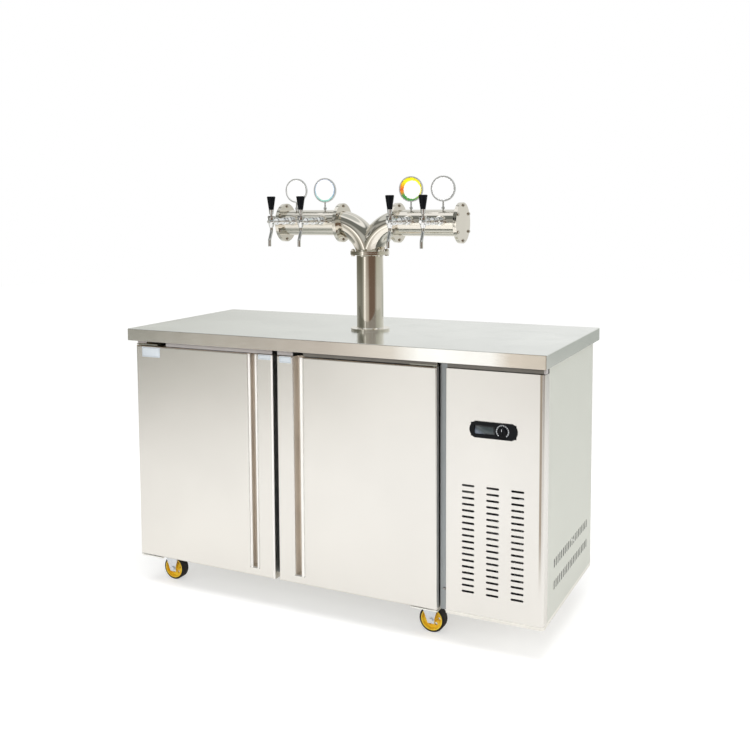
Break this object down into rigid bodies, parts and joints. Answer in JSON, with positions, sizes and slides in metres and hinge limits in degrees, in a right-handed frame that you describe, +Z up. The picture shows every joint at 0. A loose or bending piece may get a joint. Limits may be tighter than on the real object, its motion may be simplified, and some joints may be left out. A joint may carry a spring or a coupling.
{
  "type": "keg cooler beer dispenser",
  "caption": "Stainless keg cooler on swivel casters with hinged doors, a vented machine bay and a Y-shaped tube tower carrying pull-lever beer taps with round medallions.",
  "frame": {"origin": "middle of the worktop's footprint at floor level", "axes": "+X along the worktop towards the machine bay, +Y from the doors to the back, +Z up"},
  "size_m": [1.5, 0.68, 1.441],
  "materials": {
    "worktop_steel": "satin",
    "core_board": "raw",
    "casing_steel": "satin",
    "foam": "matte",
    "liner_sheet": "satin",
    "frame_steel": "satin",
    "bracket_steel": "satin",
    "screw_steel": "polished",
    "base_steel": "satin",
    "panel_steel": "satin",
    "black_plastic": "matte",
    "black_enamel": "semi-gloss",
    "fin_aluminium": "raw",
    "copper": "bright",
    "liner_plastic": "satin",
    "black_gloss": "gloss",
    "tower_steel": "polished",
    "bolt_steel": "bright",
    "line_plastic": "satin",
    "tap_chrome": "polished",
    "medallion_face": "gloss",
    "zinc": "zinc plated",
    "yellow_plastic": "semi-gloss",
    "tyre_black": "matte",
    "door_steel": "satin",
    "gasket_rubber": "matte"
  },
  "bodies": {
    "cabinet": {"arm_end_covers": "tower_steel", "beer_lines": "line_plastic", "cabinet_insulation": "foam", "caster_plates": "zinc", "compressor": "black_enamel", "condenser": "fin_aluminium", "condenser_fan_motor": "black_enamel", "cord_gland": "black_plastic", "countertop": "worktop_steel", "countertop_core": "core_board", "evaporator": "fin_aluminium", "evaporator_cover": "liner_plastic", "face_frame": "frame_steel", "flange_bolts": "bolt_steel", "hinge_brackets": "bracket_steel", "inner_liner": "liner_sheet", "machine_back_panel": "panel_steel", "machine_base": "base_steel", "machine_front_panel": "panel_steel", "machine_side_panel": "panel_steel", "medallion_faces": "medallion_face", "medallion_frames": "tap_chrome", "outer_casing": "casing_steel", "panel_screws": "screw_steel", "refrigerant_pipes": "copper", "tap_bodies": "tap_chrome", "thermostat_housing": "black_gloss", "tower_arms": "tower_steel", "tower_column": "tower_steel", "tower_elbows": "tower_steel"},
    "left_door": {"left_door_shell": "door_steel", "left_door_liner": "liner_plastic", "left_door_gasket": "gasket_rubber"},
    "right_door": {"right_door_shell": "door_steel", "right_door_liner": "liner_plastic", "right_door_gasket": "gasket_rubber"},
    "knob": {"thermostat_knob": "black_gloss"},
    "condenser_fan_rotor": {"condenser_fan": "fin_aluminium"},
    "evaporator_fan_rotor": {"evaporator_fan": "black_plastic"},
    "tap_1_handle": {"tap_1_lever": "tap_chrome", "tap_1_grip": "black_gloss"},
    "tap_2_handle": {"tap_2_lever": "tap_chrome", "tap_2_grip": "black_gloss"},
    "tap_3_handle": {"tap_3_lever": "tap_chrome", "tap_3_grip": "black_gloss"},
    "tap_4_handle": {"tap_4_lever": "tap_chrome", "tap_4_grip": "black_gloss"},
    "front_left_swivel": {"caster_front_left_fork": "zinc"},
    "front_left_wheel": {"caster_front_left_hub": "yellow_plastic", "caster_front_left_tyre": "tyre_black"},
    "front_right_swivel": {"caster_front_right_fork": "zinc"},
    "front_right_wheel": {"caster_front_right_hub": "yellow_plastic", "caster_front_right_tyre": "tyre_black"},
    "rear_left_swivel": {"caster_rear_left_fork": "zinc"},
    "rear_left_wheel": {"caster_rear_left_hub": "yellow_plastic", "caster_rear_left_tyre": "tyre_black"},
    "rear_right_swivel": {"caster_rear_right_fork": "zinc"},
    "rear_right_wheel": {"caster_rear_right_hub": "yellow_plastic", "caster_rear_right_tyre": "tyre_black"}
  },
  "joints": [
    {"name": "left_door_hinge", "type": "hinge", "parent": "cabinet", "child": "left_door", "pos_m": [-0.711, -0.319, 0.48], "axis": [0, 0, -1], "range_deg": [0, 100]},
    {"name": "right_door_hinge", "type": "hinge", "parent": "cabinet", "child": "right_door", "pos_m": [0.403, -0.319, 0.48], "axis": [0, 0, 1], "range_deg": [0, 100]},
    {"name": "thermostat_turn", "type": "hinge", "parent": "cabinet", "child": "knob", "pos_m": [0.619, -0.3305, 0.685], "axis": [0, -1, 0], "range_deg": [0, 270]},
    {"name": "condenser_fan_spin", "type": "hinge", "parent": "cabinet", "child": "condenser_fan_rotor", "pos_m": [0.5935, -0.195, 0.272], "axis": [0, 1, 0], "continuous": true},
    {"name": "evaporator_fan_spin", "type": "hinge", "parent": "cabinet", "child": "evaporator_fan_rotor", "pos_m": [0.33, -0.023, 0.604], "axis": [1, 0, 0], "continuous": true},
    {"name": "tap_1_pull", "type": "hinge", "parent": "cabinet", "child": "tap_1_handle", "pos_m": [-0.224, -0.218, 1.304], "axis": [1, 0, 0], "range_deg": [0, 38]},
    {"name": "tap_2_pull", "type": "hinge", "parent": "cabinet", "child": "tap_2_handle", "pos_m": [-0.111, -0.218, 1.304], "axis": [1, 0, 0], "range_deg": [0, 38]},
    {"name": "tap_3_pull", "type": "hinge", "parent": "cabinet", "child": "tap_3_handle", "pos_m": [0.211, -0.218, 1.304], "axis": [1, 0, 0], "range_deg": [0, 38]},
    {"name": "tap_4_pull", "type": "hinge", "parent": "cabinet", "child": "tap_4_handle", "pos_m": [0.324, -0.218, 1.304], "axis": [1, 0, 0], "range_deg": [0, 38]},
    {"name": "front_left_caster_swivel", "type": "hinge", "parent": "cabinet", "child": "front_left_swivel", "pos_m": [-0.637, -0.241, 0.09], "axis": [0, 0, 1], "continuous": true},
    {"name": "front_left_wheel_roll", "type": "hinge", "parent": "front_left_swivel", "child": "front_left_wheel", "pos_m": [-0.632, -0.241, 0.042], "axis": [0, 1, 0], "continuous": true},
    {"name": "front_right_caster_swivel", "type": "hinge", "parent": "cabinet", "child": "front_right_swivel", "pos_m": [0.363, -0.241, 0.09], "axis": [0, 0, 1], "continuous": true},
    {"name": "front_right_wheel_roll", "type": "hinge", "parent": "front_right_swivel", "child": "front_right_wheel", "pos_m": [0.368, -0.241, 0.042], "axis": [0, 1, 0], "continuous": true},
    {"name": "rear_left_caster_swivel", "type": "hinge", "parent": "cabinet", "child": "rear_left_swivel", "pos_m": [-0.637, 0.233, 0.09], "axis": [0, 0, 1], "continuous": true},
    {"name": "rear_left_wheel_roll", "type": "hinge", "parent": "rear_left_swivel", "child": "rear_left_wheel", "pos_m": [-0.632, 0.233, 0.042], "axis": [0, 1, 0], "continuous": true},
    {"name": "rear_right_caster_swivel", "type": "hinge", "parent": "cabinet", "child": "rear_right_swivel", "pos_m": [0.363, 0.233, 0.09], "axis": [0, 0, 1], "continuous": true},
    {"name": "rear_right_wheel_roll", "type": "hinge", "parent": "rear_right_swivel", "child": "rear_right_wheel", "pos_m": [0.368, 0.233, 0.042], "axis": [0, 1, 0], "continuous": true}
  ]
}
